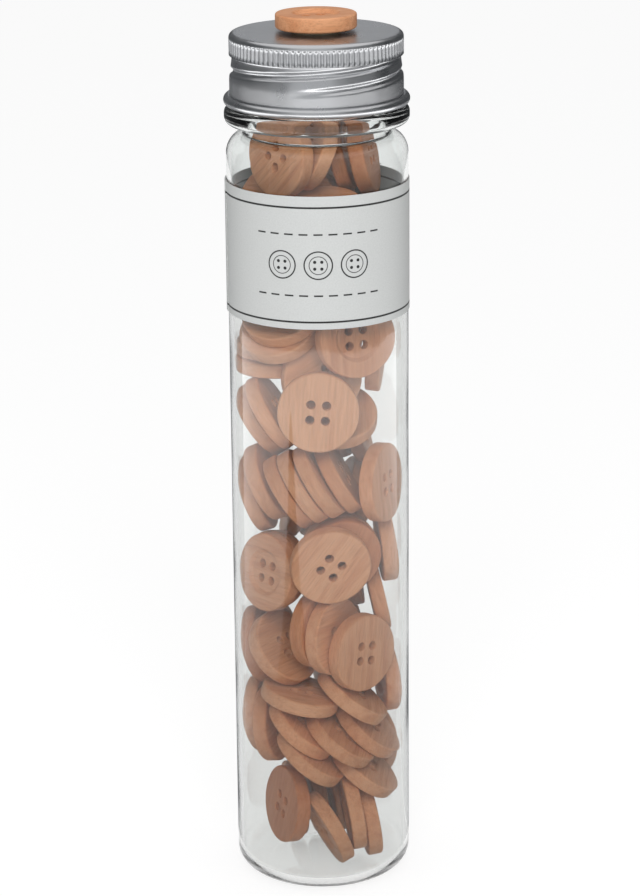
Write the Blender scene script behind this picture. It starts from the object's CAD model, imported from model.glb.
import math

import bmesh
import bpy
import numpy as np
from mathutils import Euler, Matrix, Vector


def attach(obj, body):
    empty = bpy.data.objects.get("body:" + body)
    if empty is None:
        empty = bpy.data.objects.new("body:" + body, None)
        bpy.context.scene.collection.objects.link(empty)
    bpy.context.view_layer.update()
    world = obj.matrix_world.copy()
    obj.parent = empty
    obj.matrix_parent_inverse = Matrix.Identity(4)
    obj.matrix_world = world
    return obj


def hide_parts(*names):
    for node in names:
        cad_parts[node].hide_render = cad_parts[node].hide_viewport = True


# A clear tube jar of loose wooden buttons, with a screw cap. The sizes of its pieces are in millimetres, and
# those of the stage in metres. The front looks along -Y, and a bearing is the angle round the tube from the
# front, growing towards +X.
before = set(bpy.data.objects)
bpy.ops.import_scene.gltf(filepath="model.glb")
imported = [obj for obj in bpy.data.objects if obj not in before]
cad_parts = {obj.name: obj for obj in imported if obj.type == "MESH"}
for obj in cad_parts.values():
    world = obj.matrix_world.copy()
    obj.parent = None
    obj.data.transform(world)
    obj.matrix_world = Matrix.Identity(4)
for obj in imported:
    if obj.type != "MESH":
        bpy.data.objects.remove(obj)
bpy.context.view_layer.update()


# Loose buttons
# Four-hole buttons turned from beech rod, with a shallow dish in the front and a rounded back.
# They are poured into the tube, so each one lies where the solid model has it.
MM = 0.001
button_r, half_t = 10, 1.85
dish_r, dish_foot_r, dish_depth, dish_round = 5.8, 4.95, 0.9, 0.25
hole_r, hole_pitch, countersink = 1.1, 3.8, 0.15
front_round, back_round = 0.5, 0.6


def linear(code):
    """Linear colour of an sRGB hex value."""
    parts = [int(code[i:i + 2], 16) / 255 for i in (1, 3, 5)]
    return [p / 12.92 if p <= 0.04045 else ((p + 0.055) / 1.055) ** 2.4 for p in parts] + [1]


def add(tree, kind, inputs=None, **settings):
    """Adds a node with its settings. An input is a value or the socket that feeds it."""
    made = tree.nodes.new(kind)
    for name, value in settings.items():
        setattr(made, name, value)
    for name, value in (inputs or {}).items():
        if isinstance(value, bpy.types.NodeSocket):
            tree.links.new(value, made.inputs[name])
        else:
            made.inputs[name].default_value = value
    return made


def new_material(name):
    """An empty material with its output node."""
    material = bpy.data.materials.new(name)
    material.use_nodes = True
    material.node_tree.nodes.clear()
    return material, material.node_tree, material.node_tree.nodes.new("ShaderNodeOutputMaterial")


def set_stops(ramp, *stops):
    """Gives a colour ramp its stops: place and hex colour."""
    elements = ramp.color_ramp.elements
    while len(elements) < len(stops):
        elements.new(0.5)
    for element, (place, code) in zip(elements, stops):
        element.position = place
        element.color = linear(code)


def new_object(name, mesh, material=None):
    """An object at the origin that holds the mesh."""
    made = bpy.data.objects.new(name, mesh)
    bpy.context.scene.collection.objects.link(made)
    if material:
        mesh.materials.clear()
        mesh.materials.append(material)
    return made


def plain_mesh(source, name):
    """The object's evaluated mesh, with its modifiers made real."""
    bpy.context.view_layer.update()
    graph = bpy.context.evaluated_depsgraph_get()
    mesh = bpy.data.meshes.new_from_object(source.evaluated_get(graph))
    mesh.name = name
    return mesh


def arc(middle, radius, first, last, steps):
    """Points (radius, height) on an arc, from one angle in degrees to another."""
    turns = [math.radians(first + (last - first) * i / steps) for i in range(steps + 1)]
    return [(middle[0] + radius * math.cos(t), middle[1] + radius * math.sin(t)) for t in turns]


def ring_faces(rings):
    """Faces between rings of corner numbers, which run so that the outside is on their right.

    A ring that is all one corner is a pole, and its faces are triangles.
    """
    faces = []
    for low, high in zip(rings, rings[1:]):
        for i in range(len(low)):
            k = (i + 1) % len(low)
            corners = [low[i], low[k], high[k], high[i]]
            face = [c for j, c in enumerate(corners) if c not in corners[:j]]
            if len(face) > 2:
                faces.append(face)
    return faces


def smooth_mesh(name, points, faces, sharp):
    """A smooth-shaded mesh with sharp edges where faces meet at more than an angle in degrees."""
    mesh = bpy.data.meshes.new(name)
    mesh.from_pydata(points, [], faces)
    mesh.polygons.foreach_set("use_smooth", [True] * len(mesh.polygons))
    mesh.set_sharp_from_angle(angle=math.radians(sharp))
    return mesh


def lathe(name, outline, steps):
    """A mesh turned from an outline of (radius, height) points, with the outside on their right."""
    points, rings = [], []
    for radius, height in outline:
        if radius < 1e-6:
            rings.append([len(points)] * steps)
            points.append((0, 0, height * MM))
            continue
        rings.append(list(range(len(points), len(points) + steps)))
        for i in range(steps):
            t = 2 * math.pi * i / steps
            points.append((radius * math.cos(t) * MM, radius * math.sin(t) * MM, height * MM))
    return smooth_mesh(name, points, ring_faces(rings), 40)


button_outline = (
    [(0, -half_t), (3, -half_t), (6, -half_t)]
    + arc((button_r - back_round, back_round - half_t), back_round, -90, 0, 6)
    + [(button_r, 0.3)]
    + arc((button_r - front_round, half_t - front_round), front_round, 0, 90, 5)
    + arc((dish_r + dish_round, half_t - dish_round), dish_round, 90, 140, 3)
    + arc((dish_foot_r, half_t - dish_depth + dish_round), dish_round, -40, -90, 3)
    + [(3, half_t - dish_depth), (0, half_t - dish_depth)]
)
blank = new_object("button_blank", lathe("button_blank", button_outline, 72))
drills = bmesh.new()
for sx in (-1, 1):
    for sy in (-1, 1):
        at = Vector((sx * hole_pitch / 2, sy * hole_pitch / 2, 0)) * MM
        bmesh.ops.create_cone(drills, cap_ends=True, segments=24, radius1=hole_r * MM, radius2=hole_r * MM,
                              depth=3 * half_t * MM, matrix=Matrix.Translation(at))
        for height, grow in ((-half_t, -1), (half_t - dish_depth, 1)):
            bmesh.ops.create_cone(drills, cap_ends=True, segments=24,
                                  radius1=(hole_r + countersink - countersink * grow) * MM,
                                  radius2=(hole_r + countersink + countersink * grow) * MM,
                                  depth=2 * countersink * MM,
                                  matrix=Matrix.Translation(at + Vector((0, 0, height * MM))))
drill_mesh = bpy.data.meshes.new("drills")
drills.to_mesh(drill_mesh)
drills.free()
drill = new_object("drills", drill_mesh)
cut = blank.modifiers.new("holes", "BOOLEAN")
cut.object = drill
cut.solver = "EXACT"
cut.use_self = True
button_mesh = plain_mesh(blank, "button")
button_mesh.set_sharp_from_angle(angle=math.radians(35))
for used in (blank, drill):
    bpy.data.objects.remove(used)
own = button_mesh.attributes.new("own_place", "FLOAT_VECTOR", "POINT")
own.data.foreach_set("vector", [c / MM for v in button_mesh.vertices for c in v.co])
button = new_object("button_pattern", button_mesh)

# Turned beech, sanded and waxed: pinkish tan with fine darker pores and short flecks along the grain.
# Each button is cut from another place of the rod, so grain and tone differ from one to the next.
beech, tree, output = new_material("turned_beech")
place = add(tree, "ShaderNodeAttribute", attribute_name="own_place")
shift = add(tree, "ShaderNodeAttribute", attribute_name="grain_shift")
tone = add(tree, "ShaderNodeAttribute", attribute_name="tone")
in_rod = add(tree, "ShaderNodeVectorMath", {0: place.outputs["Vector"], 1: shift.outputs["Vector"]},
             operation="ADD")
# Growth rings about 2.5 mm apart, drawn out along the grain.
along = add(tree, "ShaderNodeMapping", {"Vector": in_rod.outputs[0], "Scale": (0.03, 0.4, 0.4)})
rings = add(tree, "ShaderNodeTexNoise", {
    "Vector": along.outputs[0], "Scale": 1, "Detail": 2, "Distortion": 0.4})
ring_tone = add(tree, "ShaderNodeValToRGB", {"Fac": rings.outputs["Fac"]})
set_stops(ring_tone, (0.3, "#D8976C"), (0.48, "#E2A57A"), (0.6, "#E6AB81"), (0.72, "#DC9D72"))
# Fibres about 0.3 mm wide and 6 mm long.
fibre_map = add(tree, "ShaderNodeMapping", {"Vector": in_rod.outputs[0], "Scale": (0.16, 3.2, 3.2)})
fibres = add(tree, "ShaderNodeTexNoise", {
    "Vector": fibre_map.outputs[0], "Scale": 1, "Detail": 3, "Roughness": 0.6})
fibre_tone = add(tree, "ShaderNodeValToRGB", {"Fac": fibres.outputs["Fac"]})
set_stops(fibre_tone, (0.3, "#DDD6D0"), (0.55, "#FFFFFF"))
grained = add(tree, "ShaderNodeMix", {0: 0.75, 6: ring_tone.outputs[0], 7: fibre_tone.outputs[0]},
              data_type="RGBA", blend_type="MULTIPLY")
# Ray flecks about 0.25 mm by 1.6 mm.
fleck_map = add(tree, "ShaderNodeMapping", {"Vector": in_rod.outputs[0], "Scale": (0.6, 4, 4)})
flecks = add(tree, "ShaderNodeTexNoise", {"Vector": fleck_map.outputs[0], "Scale": 1, "Detail": 1})
fleck_share = add(tree, "ShaderNodeMapRange", {
    "Value": flecks.outputs["Fac"], "From Min": 0.68, "From Max": 0.76, "To Min": 0, "To Max": 0.3})
flecked = add(tree, "ShaderNodeMix", {0: fleck_share.outputs[0], 6: grained.outputs[2], 7: linear("#8A5636")},
              data_type="RGBA")
# Some rods are darker and redder than others.
rod_tone = add(tree, "ShaderNodeValToRGB", {"Fac": tone.outputs["Fac"]})
set_stops(rod_tone, (0, "#E4CDBB"), (0.35, "#F4EAE0"), (0.75, "#FFFFFF"), (1, "#FFF4EA"))
toned = add(tree, "ShaderNodeMix", {0: 1, 6: flecked.outputs[2], 7: rod_tone.outputs[0]},
            data_type="RGBA", blend_type="MULTIPLY")
rough = add(tree, "ShaderNodeMapRange", {
    "Value": fibres.outputs["Fac"], "From Min": 0.3, "From Max": 0.7, "To Min": 0.62, "To Max": 0.46})
pores = add(tree, "ShaderNodeBump", {"Height": fibres.outputs["Fac"], "Strength": 0.12, "Distance": 0.00008})
shader = add(tree, "ShaderNodeBsdfPrincipled", {
    "Base Color": toned.outputs[2], "Roughness": rough.outputs[0], "Normal": pores.outputs[0], "IOR": 1.45})
tree.links.new(shader.outputs[0], output.inputs["Surface"])


def button_places(node):
    """Middle and turn of every button in a node of the solid model, read from its mesh."""
    loose = bmesh.new()
    loose.from_mesh(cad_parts[node].data)
    bmesh.ops.remove_doubles(loose, verts=loose.verts, dist=1e-6)
    loose.verts.ensure_lookup_table()
    seen, found = set(), []
    for start in loose.verts:
        if start.index in seen:
            continue
        seen.add(start.index)
        island, queue = [], [start]
        while queue:
            vertex = queue.pop()
            island.append(vertex.co.copy())
            for edge in vertex.link_edges:
                other = edge.other_vert(vertex)
                if other.index not in seen:
                    seen.add(other.index)
                    queue.append(other)
        found.append(np.array(island) / MM)
    loose.free()
    return [button_pose(points) for points in found]


def button_pose(points):
    """Middle and turn of the button whose corners these are."""
    middle = (points.max(0) + points.min(0)) / 2
    # A flat round thing spreads least along its axis.
    axes = np.linalg.eigh(np.cov((points - points.mean(0)).T))[1]
    face = axes[:, 0]
    depth = (points - middle) @ face
    middle = middle + face * (depth.max() + depth.min()) / 2
    rest = points - middle
    depth = rest @ face
    across = np.linalg.norm(rest - np.outer(depth, face), axis=1)
    # Under the dish the back lies further from the middle than the front.
    under_dish = depth[(across > 0.5 * dish_r) & (across < 0.9 * dish_r)]
    if abs(under_dish.max()) > abs(under_dish.min()):
        face = -face
        depth = -depth
    side = np.cross(face, [0.0, 0.0, 1.0] if abs(face[2]) < 0.9 else [1.0, 0.0, 0.0])
    side = side / np.linalg.norm(side)
    up = np.cross(face, side)
    # The edges of the four holes in the back give the spin.
    near_holes = rest[(across < 0.75 * dish_r) & (abs(depth + half_t) < 0.05)]
    bearing = np.arctan2(near_holes @ up, near_holes @ side)
    spin = np.angle(np.mean(np.exp(4j * bearing))) / 4 - math.pi / 4
    first = math.cos(spin) * side + math.sin(spin) * up
    second = np.cross(face, first)
    return Vector(middle * MM), Matrix(np.column_stack([first, second, face])).to_euler()


# The tree sets a button on every point, turned as the point says, and makes the result real.
pour = bpy.data.node_groups.new("pour_buttons", "GeometryNodeTree")
pour.interface.new_socket("Geometry", in_out="INPUT", socket_type="NodeSocketGeometry")
button_input = pour.interface.new_socket("Button", in_out="INPUT", socket_type="NodeSocketObject")
wood_input = pour.interface.new_socket("Wood", in_out="INPUT", socket_type="NodeSocketMaterial")
pour.interface.new_socket("Geometry", in_out="OUTPUT", socket_type="NodeSocketGeometry")
given = add(pour, "NodeGroupInput").outputs
shape = add(pour, "GeometryNodeObjectInfo", {"Object": given["Button"]})
turn = add(pour, "GeometryNodeInputNamedAttribute", {"Name": "turn"}, data_type="FLOAT_VECTOR")
turned = add(pour, "FunctionNodeEulerToRotation", {"Euler": turn.outputs["Attribute"]})
poured = add(pour, "GeometryNodeInstanceOnPoints", {
    "Points": given["Geometry"], "Instance": shape.outputs["Geometry"], "Rotation": turned.outputs[0]})
real = add(pour, "GeometryNodeRealizeInstances", {"Geometry": poured.outputs[0]})
wooden = add(pour, "GeometryNodeSetMaterial", {"Geometry": real.outputs[0], "Material": given["Wood"]})
add(pour, "NodeGroupOutput", {"Geometry": wooden.outputs[0]})

chance = np.random.default_rng(7)


def pour_buttons(name, node, body, tones=(0, 1)):
    """Puts the fine button at every button of a node, and lets it stand for that node."""
    places = button_places(node)
    points = bpy.data.meshes.new(name + "_points")
    points.from_pydata([middle for middle, _ in places], [], [])
    points.attributes.new("turn", "FLOAT_VECTOR", "POINT").data.foreach_set(
        "vector", [angle for _, euler in places for angle in euler])
    points.attributes.new("tone", "FLOAT", "POINT").data.foreach_set(
        "value", chance.uniform(*tones, len(places)))
    points.attributes.new("grain_shift", "FLOAT_VECTOR", "POINT").data.foreach_set(
        "vector", chance.uniform(-400, 400, 3 * len(places)))
    holder = new_object(name + "_points", points)
    modifier = holder.modifiers.new("pour", "NODES")
    modifier.node_group = pour
    modifier[button_input.identifier] = button
    modifier[wood_input.identifier] = beech
    mesh = plain_mesh(holder, name)
    bpy.data.objects.remove(holder)
    piece = new_object(name, mesh)
    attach(piece, body)
    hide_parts(node)


for level in (1, 2, 3):
    pour_buttons(f"heap_{level}", f"buttons_0{level}", "jar")


# Tube
# Blown in one piece from clear PET, with a pushed-up base, a rounded shoulder and a support ring.
# Its wall is about a millimetre thick, and the neck has a low two-start thread for the screw cap.
tube_r, wall = 22.5, 1.2
corner_r, shoulder_r = 5.2, 5.5
body_h = 190
shoulder_c = tube_r - shoulder_r
floor_t, push_up, push_up_r = 1.8, 1.6, 13
dome_r = (push_up_r ** 2 + push_up ** 2) / (2 * push_up)
dome_z = push_up - dome_r
ring_z, ring_top, ring_r, ring_round = 197.5, 201.7, 22.85, 1.6
neck_root_r, neck_r, neck_bore_r = 18.4, 19.6, 17.1
root_fillet, neck_fillet = 0.4, 0.3
lip_z, lip_round, bore_round = 217.95, 0.6, 0.3
inner_dome_r = dome_r + floor_t
inner_dome_edge = math.sqrt(inner_dome_r ** 2 - (floor_t - dome_z) ** 2)
root_angle = math.degrees(math.acos((neck_root_r - shoulder_c) / shoulder_r))
bore_angle = math.degrees(math.acos((neck_bore_r - shoulder_c) / (shoulder_r - wall)))
dome_angle = math.degrees(math.asin(push_up_r / dome_r))
inner_dome_angle = math.degrees(math.asin(inner_dome_edge / inner_dome_r))
# The thread rolled into the cap, and the neck's ridge beside it. Their runs and ends are in degrees.
cap_z, curl_h, groove_w, groove_foot = 202, 2.6, 2.2, 2.2
thread_lead, thread_starts, thread_run, thread_bearing = 8, 2, 280, -20
fade_in, fade_out, flank_share = 50, 30, 0.35
thread_z = cap_z + curl_h + groove_w / 2 + groove_foot
ridge_w, ridge_h, ridge_ahead = 1.6, 0.6, 150
# Heights between the two curves of the wall, and rows on the neck for its thread to rise from.
wall_rows = (60, 125)
neck_rows = [ring_top + 0.4 + 0.3 * i for i in range(50)]


def ease(x):
    """Smooth step from 0 to 1."""
    t = np.clip(x, 0, 1)
    return t * t * (3 - 2 * t)


def thread(bearing, height, first_bearing, first_z, width, depth):
    """Depth of a screw thread at bearings in degrees and one height. It fades in and out at its ends."""
    deepest = np.zeros_like(bearing)
    for start in range(thread_starts):
        for lap in (-1, 0, 1):
            run = bearing - first_bearing - start * 360 / thread_starts + 360 * lap
            away = np.abs(height - first_z - thread_lead * run / 360)
            fade = ease(run / fade_in) * ease((thread_run - run) / fade_out)
            profile = ease((width / 2 - away) / (flank_share * width))
            deepest = np.maximum(deepest, depth * fade * profile)
    return deepest


def raise_neck_thread(mesh):
    """Raises the neck's own thread, halfway between the turns of the cap's thread and starting lower."""
    first_z = thread_z + thread_lead * (0.5 / thread_starts - ridge_ahead / 360)
    for vertex in mesh.vertices:
        x, y, z = vertex.co / MM
        radius = math.hypot(x, y)
        if abs(radius - neck_r) > 0.01 or z < ring_top:
            continue
        bearing = np.array([math.degrees(math.atan2(x, -y)) % 360])
        grow = thread(bearing, z, thread_bearing - ridge_ahead, first_z, ridge_w, ridge_h)[0]
        vertex.co.x *= 1 + grow / radius
        vertex.co.y *= 1 + grow / radius


tube_outline = (
    [(0, push_up)]
    + arc((0, dome_z), dome_r, 90 - dome_angle / 8, 90 - dome_angle, 7)
    + arc((tube_r - corner_r, corner_r), corner_r, -90, 0, 12)
    + [(tube_r, z) for z in wall_rows]
    + arc((shoulder_c, body_h), shoulder_r, 0, root_angle, 12)
    + [(neck_root_r, ring_z - root_fillet)]
    + arc((neck_root_r + root_fillet, ring_z - root_fillet), root_fillet, 180, 90, 3)
    + arc((ring_r - ring_round, ring_z + ring_round), ring_round, -90, 0, 6)
    + arc((ring_r - ring_round, ring_top - ring_round), ring_round, 0, 90, 6)
    + [(neck_r + neck_fillet, ring_top)]
    + [(neck_r, z) for z in neck_rows]
    + arc((neck_r - lip_round, lip_z - lip_round), lip_round, 0, 90, 5)
    + arc((neck_bore_r + bore_round, lip_z - bore_round), bore_round, 90, 180, 3)
    + arc((shoulder_c, body_h), shoulder_r - wall, bore_angle, 0, 10)
    + [(tube_r - wall, z) for z in wall_rows[::-1]]
    + arc((tube_r - corner_r, floor_t + corner_r - wall), corner_r - wall, 0, -90, 10)
    + arc((0, dome_z), inner_dome_r, 90 - inner_dome_angle, 90 - inner_dome_angle / 8, 7)
    + [(0, dome_z + inner_dome_r)]
)
tube_mesh = lathe("jar_tube", tube_outline, 160)
raise_neck_thread(tube_mesh)

# Clear PET: glossy and colourless, with the slight waviness of a blown wall. Where the buttons rub, it is
# a little greyer than at the shoulder and neck. Light for what is inside passes straight through.
pet, tree, output = new_material("clear_pet")
place = add(tree, "ShaderNodeTexCoord")
# Waves about 25 mm long up the wall and 12 mm round it.
stretched = add(tree, "ShaderNodeMapping", {"Vector": place.outputs["Object"], "Scale": (80, 80, 40)})
waves = add(tree, "ShaderNodeTexNoise", {"Vector": stretched.outputs[0], "Scale": 1, "Detail": 1})
wavy = add(tree, "ShaderNodeBump", {"Height": waves.outputs["Fac"], "Strength": 0.12, "Distance": 0.0008})
height = add(tree, "ShaderNodeSeparateXYZ", {0: place.outputs["Object"]})
unrubbed = add(tree, "ShaderNodeMapRange", {
    "Value": height.outputs["Z"], "From Min": 0.16, "From Max": 0.18})
cast = add(tree, "ShaderNodeMix", {0: unrubbed.outputs[0], 6: linear("#F0F1F0"), 7: linear("#F8FAF9")},
           data_type="RGBA")
clear = add(tree, "ShaderNodeBsdfPrincipled", {
    "Base Color": cast.outputs[2], "Roughness": 0.03, "IOR": 1.5, "Transmission Weight": 1,
    "Normal": wavy.outputs[0]})
open_way = add(tree, "ShaderNodeBsdfTransparent", {"Color": linear("#FBFBFB")})
ray = add(tree, "ShaderNodeLightPath")
seen = add(tree, "ShaderNodeMixShader", {
    0: ray.outputs["Is Shadow Ray"], 1: clear.outputs[0], 2: open_way.outputs[0]})
tree.links.new(seen.outputs[0], output.inputs["Surface"])

tube = new_object("jar_tube", tube_mesh, pet)
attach(tube, "jar")
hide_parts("tube")


# Label
# One strip of smooth white paper, printed with fine black lines.
# It is glued round the tube with its ends lapped at the left.
label_z, label_h, label_t, glue_t = 150.5, 33, 0.2, 0.05
label_r = tube_r + glue_t
lap_bearing, lap_length, lap_gap, lap_ease = -80, 7, 0.02, 4
lap_turn = math.degrees(lap_length / tube_r)


def label_strip():
    """The paper as a closed thin strip, its outer end on the inner one, with a UV map in millimetres."""
    steps, rows = 200, 6
    whole = 360 + lap_turn
    points, coords, faces = [], [], []
    for i in range(steps + 1):
        run = whole * i / steps
        bearing = math.radians(lap_bearing - run)
        raised = (label_t + lap_gap) * (1 - ease((run - lap_turn) / lap_ease))
        ring = [(0, j / rows) for j in range(rows + 1)] + [(label_t, j / rows) for j in range(rows, -1, -1)]
        for side, share in ring:
            radius = label_r + raised + side
            height = label_z + label_h * share
            points.append((radius * math.sin(bearing) * MM, -radius * math.cos(bearing) * MM, height * MM))
            coords.append((math.radians(lap_bearing - run + 360) * tube_r, label_h * share))
    count = 2 * rows + 2
    for i in range(steps):
        for j in range(count):
            k = (j + 1) % count
            faces.append((i * count + j, (i + 1) * count + j, (i + 1) * count + k, i * count + k))
    faces.append(tuple(range(count)))
    faces.append(tuple(reversed(range(steps * count, (steps + 1) * count))))
    mesh = smooth_mesh("label_paper", points, faces, 40)
    layer = mesh.uv_layers.new(name="print")
    layer.data.foreach_set("uv", [c for loop in mesh.loops for c in coords[loop.vertex_index]])
    return mesh


# Smooth white label paper: matt with a faint sheen and a fine fibre mottle.
# The print is black: a rule near each edge, two rows of running stitches and a row of drawn buttons.
print_middle, ink_edge = 16, 0.04
paper, tree, output = new_material("label_paper")
sheet_map = add(tree, "ShaderNodeUVMap", uv_map="print")
on_sheet = add(tree, "ShaderNodeSeparateXYZ", {0: sheet_map.outputs[0]})
from_front = on_sheet.outputs["X"]
up_sheet = add(tree, "ShaderNodeMath", {0: on_sheet.outputs["Y"], 1: print_middle}, operation="SUBTRACT")
off_middle = add(tree, "ShaderNodeMath", {0: up_sheet.outputs[0]}, operation="ABSOLUTE").outputs[0]


def ink_near(tree, length, middle, half_width):
    """Share of ink in a band of a length, on both sides of a middle, with a slightly soft edge."""
    past = add(tree, "ShaderNodeMath", {0: length, 1: middle}, operation="SUBTRACT")
    away = add(tree, "ShaderNodeMath", {0: past.outputs[0]}, operation="ABSOLUTE")
    band = add(tree, "ShaderNodeMapRange", {
        "Value": away.outputs[0], "From Min": half_width + ink_edge, "From Max": half_width - ink_edge})
    return band.outputs[0]


# A rule 0.5 mm thick near each edge.
rules = ink_near(tree, off_middle, 14.2, 0.24)
# Stitches 2.2 mm long on a pitch of 3.6 mm, in two rows 32 mm long.
in_stitch = add(tree, "ShaderNodeMath", {0: from_front, 1: 1.8, 2: -1.8}, operation="WRAP")
in_row = add(tree, "ShaderNodeMath", {
    0: ink_near(tree, off_middle, 7.6, 0.2), 1: ink_near(tree, from_front, 0, 16.2)}, operation="MULTIPLY")
stitches = add(tree, "ShaderNodeMath", {
    0: ink_near(tree, in_stitch.outputs[0], 0, 1.1), 1: in_row.outputs[0]}, operation="MULTIPLY")
# Three buttons 7 mm across, 9 mm apart, each drawn as two rings and four holes.
in_pitch = add(tree, "ShaderNodeMath", {0: from_front, 1: 4.5, 2: -4.5}, operation="WRAP")
beside = add(tree, "ShaderNodeMath", {0: in_pitch.outputs[0]}, operation="ABSOLUTE")
in_quarter = add(tree, "ShaderNodeCombineXYZ", {"X": beside.outputs[0], "Y": off_middle}).outputs[0]
from_centre = add(tree, "ShaderNodeVectorMath", {0: in_quarter}, operation="LENGTH").outputs["Value"]
from_hole = add(tree, "ShaderNodeVectorMath", {0: in_quarter, 1: (0.85, 0.85, 0)},
                operation="DISTANCE").outputs["Value"]
drawn_rings = add(tree, "ShaderNodeMath", {
    0: ink_near(tree, from_centre, 3.4, 0.17), 1: ink_near(tree, from_centre, 2.2, 0.1)},
    operation="MAXIMUM")
drawn = add(tree, "ShaderNodeMath", {0: drawn_rings.outputs[0], 1: ink_near(tree, from_hole, 0, 0.4)},
            operation="MAXIMUM")
three_drawn = add(tree, "ShaderNodeMath", {0: drawn.outputs[0], 1: ink_near(tree, from_front, 0, 13.5)},
                  operation="MULTIPLY")
straight_lines = add(tree, "ShaderNodeMath", {0: rules, 1: stitches.outputs[0]}, operation="MAXIMUM")
ink = add(tree, "ShaderNodeMath", {0: straight_lines.outputs[0], 1: three_drawn.outputs[0]},
          operation="MAXIMUM")
# Mottle about 0.4 mm across.
mottle = add(tree, "ShaderNodeTexNoise", {"Vector": sheet_map.outputs[0], "Scale": 2.5, "Detail": 2})
white = add(tree, "ShaderNodeValToRGB", {"Fac": mottle.outputs["Fac"]})
set_stops(white, (0.3, "#BBBDBC"), (0.7, "#C2C4C3"))
printed = add(tree, "ShaderNodeMix", {0: ink.outputs[0], 6: white.outputs[0], 7: linear("#121212")},
              data_type="RGBA")
shader = add(tree, "ShaderNodeBsdfPrincipled", {"Base Color": printed.outputs[2], "Roughness": 0.55})
tree.links.new(shader.outputs[0], output.inputs["Surface"])

label = new_object("label_strip", label_strip(), paper)
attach(label, "jar")
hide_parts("label")


# Cap shell
# Drawn and rolled from thin aluminium sheet: a flat top, a knurled band for grip, a rolled two-start thread
# and a bottom curl. It screws onto the neck and turns with the lid button.
cap_top, edge_r, sheet = 219.7, 1.2, 0.35
knurl_r, knurl_h, flutes = 21.4, 4.2, 96
flute_w, flute_depth = 1, 0.45
knurl_top = cap_top - edge_r
knurl_z = knurl_top - knurl_h
neck_in_r, skirt_r = 20.7, 21.4
curl_r, groove_depth = 22.95, 0.75
band_round, neck_round, curl_lip = 0.15, 0.1, 0.6
inner_step_z, inner_band_z = knurl_z + 0.3, knurl_z + 0.5
# How a flute runs out at its ends: distance from the end of the band, and share of the depth.
flute_ends = [(0.1, 0), (0.25, 0.35), (0.45, 0.7), (0.7, 0.92), (1, 1), (1.2, 1)]


def skirt_at(height):
    """Radius of the skirt before the thread is rolled in."""
    t = ease((height - thread_z) / (knurl_z - thread_z))
    return skirt_r * (1 - t) + neck_in_r * t


def cap_rows():
    """Rings of the sheet from the top down and up again inside.

    A ring is its radius, its height, its share of the flutes and its share of the thread.
    """
    curl_top = cap_z + curl_h
    skirt_top = knurl_z - neck_round
    heights = [skirt_top - (skirt_top - curl_top) * i / 34 for i in range(35)]
    behind_flutes = knurl_r - sheet - flute_depth
    rows = [(r, cap_top, 0, 0) for r in (0, 8, 14, 19)]
    rows += [(r, z, 0, 0) for r, z in arc((knurl_r - edge_r, knurl_top), edge_r, 90, 0, 8)]
    rows += [(knurl_r, knurl_top - drop, share, 0) for drop, share in flute_ends]
    rows += [(knurl_r, knurl_z + rise, share, 0) for rise, share in flute_ends[::-1]]
    rows += [(knurl_r - band_round, knurl_z, 0, 0), (neck_in_r + neck_round, knurl_z, 0, 0)]
    rows += [(skirt_at(z), z, 0, 1) for z in heights]
    rows += [(r, z, 0, 0) for r, z in arc((curl_r - curl_h / 2, cap_z + curl_h / 2), curl_h / 2, 96, -90, 14)]
    rows += [(skirt_r - sheet + band_round, cap_z + band_round, 0, 0)]
    rows += [(skirt_r - sheet, cap_z + curl_lip, 0, 0)]
    rows += [(skirt_at(z) - sheet, z, 0, 1) for z in heights[::-3]]
    rows += [(neck_in_r - sheet, inner_step_z, 0, 0), (behind_flutes, inner_band_z, 0, 0),
             (behind_flutes, knurl_top, 0, 0), (knurl_r - edge_r, cap_top - sheet, 0, 0),
             (0, cap_top - sheet, 0, 0)]
    return rows


def cap_mesh():
    """The cap's rings with the flutes pressed in and the thread rolled in."""
    around = 8 * flutes
    bearing = np.arange(around) * 360 / around
    to_flute = np.abs((bearing * flutes / 360 + 0.5) % 1 - 0.5) * 2 * math.pi * knurl_r / flutes
    scallop = flute_depth * np.clip(1 - (2 * to_flute / flute_w) ** 2, 0, 1)
    turns = np.radians(bearing)
    points, rings = [], []
    for radius, height, fluted, threaded in cap_rows():
        if radius == 0:
            rings.append([len(points)] * around)
            points.append((0, 0, height * MM))
            continue
        rolled_in = thread(bearing, height, thread_bearing, thread_z, groove_w, groove_depth)
        reach = radius - fluted * scallop - threaded * rolled_in
        rings.append(list(range(len(points), len(points) + around)))
        points += [(r * math.sin(t) * MM, -r * math.cos(t) * MM, height * MM) for r, t in zip(reach, turns)]
    return smooth_mesh("cap_sheet", points, ring_faces(rings[::-1]), 50)


# Satin aluminium sheet: rolled, so it is soft grey with very fine lines one way, and faint handling marks.
aluminium, tree, output = new_material("satin_aluminium")
place = add(tree, "ShaderNodeTexCoord")
# Rolling lines about 0.25 mm apart, as coarse as they need to be to show.
rolled = add(tree, "ShaderNodeMapping", {"Vector": place.outputs["Object"], "Scale": (150, 4000, 4000)})
lines = add(tree, "ShaderNodeTexNoise", {"Vector": rolled.outputs[0], "Scale": 1, "Detail": 2})
# Handling marks about 6 mm across.
marks = add(tree, "ShaderNodeTexNoise", {"Vector": place.outputs["Object"], "Scale": 160, "Detail": 3})
sheen = add(tree, "ShaderNodeMapRange", {
    "Value": marks.outputs["Fac"], "From Min": 0.3, "From Max": 0.7, "To Min": 0.26, "To Max": 0.36})
grain = add(tree, "ShaderNodeBump", {"Height": lines.outputs["Fac"], "Strength": 0.06, "Distance": 0.0001})
shader = add(tree, "ShaderNodeBsdfPrincipled", {
    "Base Color": linear("#C5C6C8"), "Metallic": 1, "Roughness": sheen.outputs[0],
    "Normal": grain.outputs[0]})
tree.links.new(shader.outputs[0], output.inputs["Surface"])

cap = new_object("cap_sheet", cap_mesh(), aluminium)
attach(cap, "cap")
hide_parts("cap_shell")


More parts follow.
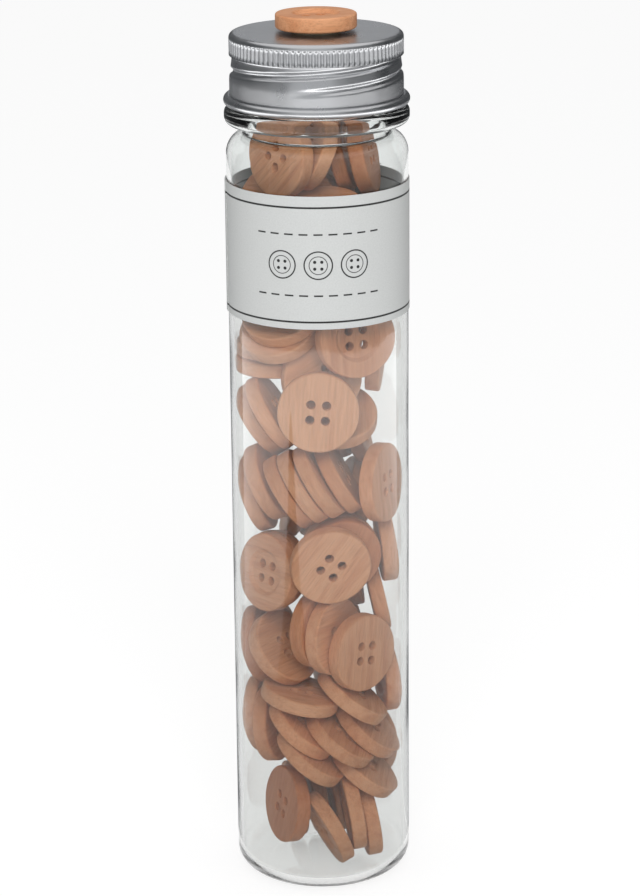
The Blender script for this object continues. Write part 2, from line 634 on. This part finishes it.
# Liner
# A disc of white foam pressed into the cap, which seals on the lip of the neck.
# The solid model's shape is right, so it stays and only gets its finish here.
# White foam: matt and soft, with cells about 0.4 mm across that dent the skin.
foam, tree, output = new_material("white_foam")
place = add(tree, "ShaderNodeTexCoord")
cells = add(tree, "ShaderNodeTexVoronoi", {"Vector": place.outputs["Object"], "Scale": 2500})
dented = add(tree, "ShaderNodeBump", {
    "Height": cells.outputs["Distance"], "Strength": 0.3, "Distance": 0.0001})
shader = add(tree, "ShaderNodeBsdfPrincipled", {
    "Base Color": linear("#EFEFEC"), "Roughness": 0.8, "Normal": dented.outputs[0]})
tree.links.new(shader.outputs[0], output.inputs["Surface"])
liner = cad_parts["cap_liner"]
liner.data.materials.clear()
liner.data.materials.append(foam)


# Lid button
# One of the same buttons, stuck dish side up on a dot of hot glue in the middle of the cap, as a knob.
# Hot-melt glue: dull, milky and slightly yellow, with soft lumps about 1.5 mm across.
hot_glue, tree, output = new_material("hot_glue")
place = add(tree, "ShaderNodeTexCoord")
lumps = add(tree, "ShaderNodeTexNoise", {"Vector": place.outputs["Object"], "Scale": 650, "Detail": 1})
milky = add(tree, "ShaderNodeValToRGB", {"Fac": lumps.outputs["Fac"]})
set_stops(milky, (0.3, "#D2C4A4"), (0.7, "#E2D8C0"))
lumpy = add(tree, "ShaderNodeBump", {"Height": lumps.outputs["Fac"], "Strength": 0.4, "Distance": 0.0002})
shader = add(tree, "ShaderNodeBsdfPrincipled", {
    "Base Color": milky.outputs[0], "Roughness": 0.4, "Normal": lumpy.outputs[0]})
tree.links.new(shader.outputs[0], output.inputs["Surface"])
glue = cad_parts["lid_glue"]
glue.data.materials.clear()
glue.data.materials.append(hot_glue)

pour_buttons("lid_button_turned", "lid_button", "cap", (0.45, 0.55))
bpy.data.objects.remove(button)


# Stage
# A white floor that runs on to the horizon, lit softly from all round as in a photographer's white tent.
# Cards out of view draw the dark and bright edges of metal and clear plastic, and one lamp stands in front.
def seen_by_eye(tree):
    """1 for a ray that reaches the camera straight, mirrored or through the clear wall, 0 for other light."""
    ray = add(tree, "ShaderNodeLightPath").outputs
    shown = add(tree, "ShaderNodeMath", {0: ray["Is Camera Ray"], 1: ray["Is Glossy Ray"]},
                operation="MAXIMUM")
    shown = add(tree, "ShaderNodeMath", {0: shown.outputs[0], 1: ray["Is Transmission Ray"]},
                operation="MAXIMUM")
    straight = add(tree, "ShaderNodeMath", {0: ray["Diffuse Depth"], 1: 0.5}, operation="LESS_THAN")
    both = add(tree, "ShaderNodeMath", {0: shown.outputs[0], 1: straight.outputs[0]}, operation="MULTIPLY")
    return both.outputs[0]


# White matt paint. It looks about as bright as the tent and still keeps the jar's shadow.
paint, tree, output = new_material("floor_paint")
matt = add(tree, "ShaderNodeBsdfDiffuse", {"Color": (1, 1, 1, 1)})
bright = add(tree, "ShaderNodeEmission", {"Color": (1, 1, 1, 1), "Strength": 1.1})
share = add(tree, "ShaderNodeMath", {0: seen_by_eye(tree), 1: 0.7}, operation="MULTIPLY")
mixed = add(tree, "ShaderNodeMixShader", {0: share.outputs[0], 1: matt.outputs[0], 2: bright.outputs[0]})
tree.links.new(mixed.outputs[0], output.inputs["Surface"])
floor_mesh = bpy.data.meshes.new("floor")
floor_mesh.from_pydata([(-6, -6, 0), (6, -6, 0), (6, 6, 0), (-6, 6, 0)], [], [(0, 1, 2, 3)])
floor = new_object("floor", floor_mesh, paint)

world = bpy.data.worlds.new("white_tent")
bpy.context.scene.world = world
world.use_nodes = True
tree = world.node_tree
tree.nodes.clear()
# The tent's light passes the clear wall as shadow rays do, so it isn't counted again on rays that bend there.
bent = add(tree, "ShaderNodeLightPath").outputs["Is Transmission Ray"]
once = add(tree, "ShaderNodeMath", {0: 1, 1: bent}, operation="SUBTRACT")
strength = add(tree, "ShaderNodeMath", {0: once.outputs[0], 1: 0.58}, operation="MULTIPLY")
soft = add(tree, "ShaderNodeBackground", {"Color": (1, 1, 1, 1), "Strength": strength.outputs[0]})
plain = add(tree, "ShaderNodeBackground", {"Color": (1, 1, 1, 1), "Strength": 1})
sky = add(tree, "ShaderNodeMixShader", {0: seen_by_eye(tree), 1: soft.outputs[0], 2: plain.outputs[0]})
add(tree, "ShaderNodeOutputWorld", {"Surface": sky.outputs[0]})


def card(name, code, glow, low_edge, high_edge):
    """A curved card that only shows as a reflection.

    An edge is its first and last bearing, its distance from the jar and its height, in metres.
    The glow changes with the distance, from 0.15 m to 0.45 m.
    """
    steps = 24
    points = []
    for i in range(steps + 1):
        for first, last, distance, height in (low_edge, high_edge):
            bearing = math.radians(first + (last - first) * i / steps)
            points.append((distance * math.sin(bearing), -distance * math.cos(bearing), height))
    mesh = bpy.data.meshes.new(name)
    mesh.from_pydata(points, [], [(2 * i, 2 * i + 2, 2 * i + 3, 2 * i + 1) for i in range(steps)])
    board, tree, output = new_material(name)
    place = add(tree, "ShaderNodeTexCoord")
    distance = add(tree, "ShaderNodeVectorMath", {0: place.outputs["Object"]}, operation="LENGTH")
    strength = add(tree, "ShaderNodeMapRange", {
        "Value": distance.outputs["Value"], "From Min": 0.15, "From Max": 0.45,
        "To Min": glow[0], "To Max": glow[1]})
    glows = add(tree, "ShaderNodeEmission", {"Color": linear(code), "Strength": strength.outputs[0]})
    tree.links.new(glows.outputs[0], output.inputs["Surface"])
    made = new_object(name, mesh, board)
    made.visible_camera = False
    made.visible_diffuse = False
    made.visible_shadow = False
    made.visible_transmission = False


# Upright cards darken the sides of the metal and leave it bright at the front.
for name, code, first, last, distance in (
        ("left_flag", "#5C5E60", -62, -175, 0.9), ("left_grey", "#8A8C8E", -35, -61, 0.95),
        ("front_grey", "#CCCED0", -34, 25, 0.95), ("right_grey", "#7E8082", 26, 79, 0.95),
        ("right_flag", "#4A4C4E", 80, 175, 0.9), ("back_card", "#ABADB0", 160, 200, 1.4)):
    card(name, code, (1, 1), (first, last, distance, 0.01), (first, last, distance, 1))
# A bright sheet on the floor veils the tube's front, with a dark wedge on it. The floor behind is grey.
for name, code, glow, near, far in (
        ("bright_sheet", "#FFFFFF", (0.4, 3), (-115, 115, 0.03, 0.001), (-115, 115, 0.58, 0.001)),
        ("dark_wedge", "#202020", (1, 1), (-12, -58, 0.16, 0.002), (-36, -38, 0.46, 0.002)),
        ("grey_floor", "#9A9C9E", (1, 1), (116, 244, 0.03, 0.001), (116, 244, 0.85, 0.001))):
    card(name, code, glow, near, far)

# A square softbox above the camera, turned to the middle of the jar. It shows in no reflection.
lamp = bpy.data.lights.new("front_softbox", "AREA")
lamp.shape = "SQUARE"
lamp.size = 0.6
lamp.energy = 6.8
softbox = bpy.data.objects.new("front_softbox", lamp)
bpy.context.scene.collection.objects.link(softbox)
softbox.location = (0, -0.9, 0.75)
softbox.rotation_euler = (Vector((0, 0, 0.11)) - softbox.location).to_track_quat("-Z", "Y").to_euler()
softbox.visible_glossy = False
softbox.visible_transmission = False

# The camera's focal length is 3035 pixels of a picture 896 pixels high. It looks down and leans a little.
focal_pixels, picture_height = 3035, 896
look_down, lean = math.radians(17.22), math.radians(-0.545)
camera_data = bpy.data.cameras.new("camera")
camera_data.sensor_width = 36
camera_data.lens = focal_pixels * camera_data.sensor_width / picture_height
camera = bpy.data.objects.new("camera", camera_data)
bpy.context.scene.collection.objects.link(camera)
camera.location = (0, -0.7365, 0.3416)
look = Euler((math.pi / 2 - look_down, 0, 0)).to_matrix() @ Matrix.Rotation(lean, 3, "Z")
camera.rotation_euler = look.to_euler()
bpy.context.scene.camera = camera
bpy.context.scene.view_settings.view_transform = "Standard"
